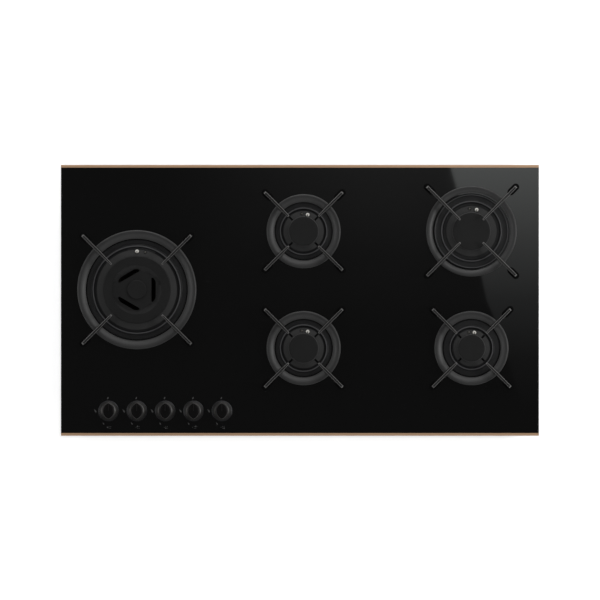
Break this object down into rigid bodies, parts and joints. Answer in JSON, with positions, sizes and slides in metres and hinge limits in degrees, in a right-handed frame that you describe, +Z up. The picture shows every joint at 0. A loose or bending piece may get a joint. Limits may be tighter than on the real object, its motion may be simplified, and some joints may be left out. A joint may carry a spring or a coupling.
{
  "type": "gas cooktop",
  "caption": "Built-in black glass gas cooktop with round burners, ring-shaped cast pan supports, push-and-turn knobs and a shallow steel tray.",
  "frame": {"origin": "middle of the base tray's underside", "axes": "+X to the user's right, +Y away from the user, +Z up"},
  "size_m": [0.9, 0.51, 0.092],
  "materials": {
    "black_glass": "tempered ceramic-printed black glass, polished",
    "copper_trim": "copper-coloured anodised metal, satin",
    "seal_foam": "closed-cell foam seal",
    "galvanised_steel": "galvanised sheet, dull",
    "zinc_screw": "zinc-plated steel",
    "cast_aluminium": "die-cast aluminium, as cast",
    "dark_cast_aluminium": "die-cast aluminium, dark matt coat",
    "brass": "machined brass",
    "black_enamel": "matt black vitreous enamel on steel",
    "cast_iron": "cast iron, matt black enamel",
    "rubber": "black silicone rubber",
    "black_chrome": "dark plated ring",
    "knob_metal": "dark satin coated zinc casting",
    "spindle_steel": "turned steel",
    "tube_aluminium": "drawn aluminium tube",
    "ceramic_white": "white alumina",
    "probe_steel": "stainless steel sheath",
    "black_plastic": "black moulded plastic",
    "white_plastic": "natural nylon",
    "lead_silicone": "silicone-covered spark wire"
  },
  "bodies": {
    "hob": {"base_tray": "galvanised_steel", "burner_brackets": "galvanised_steel", "burner_cups": "cast_aluminium", "burner_screws": "zinc_screw", "cable_gland": "black_plastic", "flame_probes": "probe_steel", "front_trim": "copper_trim", "gas_rail": "galvanised_steel", "gas_tubes": "tube_aluminium", "glass_frame": "galvanised_steel", "glass_top": "black_glass", "igniters": "ceramic_white", "ignition_switches": "black_plastic", "injectors": "brass", "inlet_elbow": "zinc_screw", "knob_bezels": "black_chrome", "rear_trim": "copper_trim", "spark_generator": "black_plastic", "spark_leads": "lead_silicone", "spill_rings": "black_enamel", "tap_bodies": "cast_aluminium", "terminal_block": "white_plastic", "tray_screws": "zinc_screw", "worktop_seal": "seal_foam"},
    "crown_ultra_body": {"crown_ultra": "dark_cast_aluminium"},
    "cap_ultra_body": {"cap_ultra": "black_enamel"},
    "support_ultra_body": {"pan_support_ultra": "cast_iron", "feet_ultra": "rubber"},
    "crown_rear_centre_body": {"crown_rear_centre": "dark_cast_aluminium"},
    "cap_rear_centre_body": {"cap_rear_centre": "black_enamel"},
    "support_rear_centre_body": {"pan_support_rear_centre": "cast_iron", "feet_rear_centre": "rubber"},
    "crown_front_centre_body": {"crown_front_centre": "dark_cast_aluminium"},
    "cap_front_centre_body": {"cap_front_centre": "black_enamel"},
    "support_front_centre_body": {"pan_support_front_centre": "cast_iron", "feet_front_centre": "rubber"},
    "crown_rapid_body": {"crown_rapid": "dark_cast_aluminium"},
    "cap_rapid_body": {"cap_rapid": "black_enamel"},
    "support_rapid_body": {"pan_support_rapid": "cast_iron", "feet_rapid": "rubber"},
    "crown_auxiliary_body": {"crown_auxiliary": "dark_cast_aluminium"},
    "cap_auxiliary_body": {"cap_auxiliary": "black_enamel"},
    "support_auxiliary_body": {"pan_support_auxiliary": "cast_iron", "feet_auxiliary": "rubber"},
    "centre_cap_body": {"centre_cap_ultra": "black_enamel"},
    "plug_ultra_body": {"tap_plug_ultra": "brass"},
    "control_ultra_body": {"knob_ultra": "knob_metal", "spindle_ultra": "spindle_steel"},
    "plug_rear_centre_body": {"tap_plug_rear_centre": "brass"},
    "control_rear_centre_body": {"knob_rear_centre": "knob_metal", "spindle_rear_centre": "spindle_steel"},
    "plug_front_centre_body": {"tap_plug_front_centre": "brass"},
    "control_front_centre_body": {"knob_front_centre": "knob_metal", "spindle_front_centre": "spindle_steel"},
    "plug_rapid_body": {"tap_plug_rapid": "brass"},
    "control_rapid_body": {"knob_rapid": "knob_metal", "spindle_rapid": "spindle_steel"},
    "plug_auxiliary_body": {"tap_plug_auxiliary": "brass"},
    "control_auxiliary_body": {"knob_auxiliary": "knob_metal", "spindle_auxiliary": "spindle_steel"}
  },
  "joints": [
    {"name": "lift_crown_ultra", "type": "slide", "parent": "hob", "child": "crown_ultra_body", "axis": [0, 0, 1], "range_m": [0, 0.015]},
    {"name": "lift_cap_ultra", "type": "slide", "parent": "crown_ultra_body", "child": "cap_ultra_body", "axis": [0, 0, 1], "range_m": [0, 0.05]},
    {"name": "lift_support_ultra", "type": "slide", "parent": "hob", "child": "support_ultra_body", "axis": [0, 0, 1], "range_m": [0, 0.06]},
    {"name": "lift_crown_rear_centre", "type": "slide", "parent": "hob", "child": "crown_rear_centre_body", "axis": [0, 0, 1], "range_m": [0, 0.05]},
    {"name": "lift_cap_rear_centre", "type": "slide", "parent": "crown_rear_centre_body", "child": "cap_rear_centre_body", "axis": [0, 0, 1], "range_m": [0, 0.05]},
    {"name": "lift_support_rear_centre", "type": "slide", "parent": "hob", "child": "support_rear_centre_body", "axis": [0, 0, 1], "range_m": [0, 0.06]},
    {"name": "lift_crown_front_centre", "type": "slide", "parent": "hob", "child": "crown_front_centre_body", "axis": [0, 0, 1], "range_m": [0, 0.05]},
    {"name": "lift_cap_front_centre", "type": "slide", "parent": "crown_front_centre_body", "child": "cap_front_centre_body", "axis": [0, 0, 1], "range_m": [0, 0.05]},
    {"name": "lift_support_front_centre", "type": "slide", "parent": "hob", "child": "support_front_centre_body", "axis": [0, 0, 1], "range_m": [0, 0.06]},
    {"name": "lift_crown_rapid", "type": "slide", "parent": "hob", "child": "crown_rapid_body", "axis": [0, 0, 1], "range_m": [0, 0.004]},
    {"name": "lift_cap_rapid", "type": "slide", "parent": "crown_rapid_body", "child": "cap_rapid_body", "axis": [0, 0, 1], "range_m": [0, 0.004]},
    {"name": "lift_support_rapid", "type": "slide", "parent": "hob", "child": "support_rapid_body", "axis": [0, 0, 1], "range_m": [0, 0.06]},
    {"name": "lift_crown_auxiliary", "type": "slide", "parent": "hob", "child": "crown_auxiliary_body", "axis": [0, 0, 1], "range_m": [0, 0.05]},
    {"name": "lift_cap_auxiliary", "type": "slide", "parent": "crown_auxiliary_body", "child": "cap_auxiliary_body", "axis": [0, 0, 1], "range_m": [0, 0.05]},
    {"name": "lift_support_auxiliary", "type": "slide", "parent": "hob", "child": "support_auxiliary_body", "axis": [0, 0, 1], "range_m": [0, 0.06]},
    {"name": "lift_centre_cap", "type": "slide", "parent": "cap_ultra_body", "child": "centre_cap_body", "axis": [0, 0, 1], "range_m": [0, 0.03]},
    {"name": "turn_ultra", "type": "hinge", "parent": "hob", "child": "plug_ultra_body", "pos_m": [-0.3604, -0.2083, 0.034], "axis": [0, 0, 1], "range_deg": [0, 157]},
    {"name": "push_ultra", "type": "slide", "parent": "plug_ultra_body", "child": "control_ultra_body", "axis": [0, 0, -1], "range_m": [0, 0.0035], "stiffness_N_per_m": 1500, "springref_m": -0.004},
    {"name": "turn_rear_centre", "type": "hinge", "parent": "hob", "child": "plug_rear_centre_body", "pos_m": [-0.307, -0.2083, 0.034], "axis": [0, 0, 1], "range_deg": [0, 157]},
    {"name": "push_rear_centre", "type": "slide", "parent": "plug_rear_centre_body", "child": "control_rear_centre_body", "axis": [0, 0, -1], "range_m": [0, 0.0035], "stiffness_N_per_m": 1500, "springref_m": -0.004},
    {"name": "turn_front_centre", "type": "hinge", "parent": "hob", "child": "plug_front_centre_body", "pos_m": [-0.2536, -0.2083, 0.034], "axis": [0, 0, 1], "range_deg": [0, 157]},
    {"name": "push_front_centre", "type": "slide", "parent": "plug_front_centre_body", "child": "control_front_centre_body", "axis": [0, 0, -1], "range_m": [0, 0.0035], "stiffness_N_per_m": 1500, "springref_m": -0.004},
    {"name": "turn_rapid", "type": "hinge", "parent": "hob", "child": "plug_rapid_body", "pos_m": [-0.2002, -0.2083, 0.034], "axis": [0, 0, 1], "range_deg": [0, 157]},
    {"name": "push_rapid", "type": "slide", "parent": "plug_rapid_body", "child": "control_rapid_body", "axis": [0, 0, -1], "range_m": [0, 0.0035], "stiffness_N_per_m": 1500, "springref_m": -0.004},
    {"name": "turn_auxiliary", "type": "hinge", "parent": "hob", "child": "plug_auxiliary_body", "pos_m": [-0.1468, -0.2083, 0.034], "axis": [0, 0, 1], "range_deg": [0, 157]},
    {"name": "push_auxiliary", "type": "slide", "parent": "plug_auxiliary_body", "child": "control_auxiliary_body", "axis": [0, 0, -1], "range_m": [0, 0.0035], "stiffness_N_per_m": 1500, "springref_m": -0.004}
  ]
}
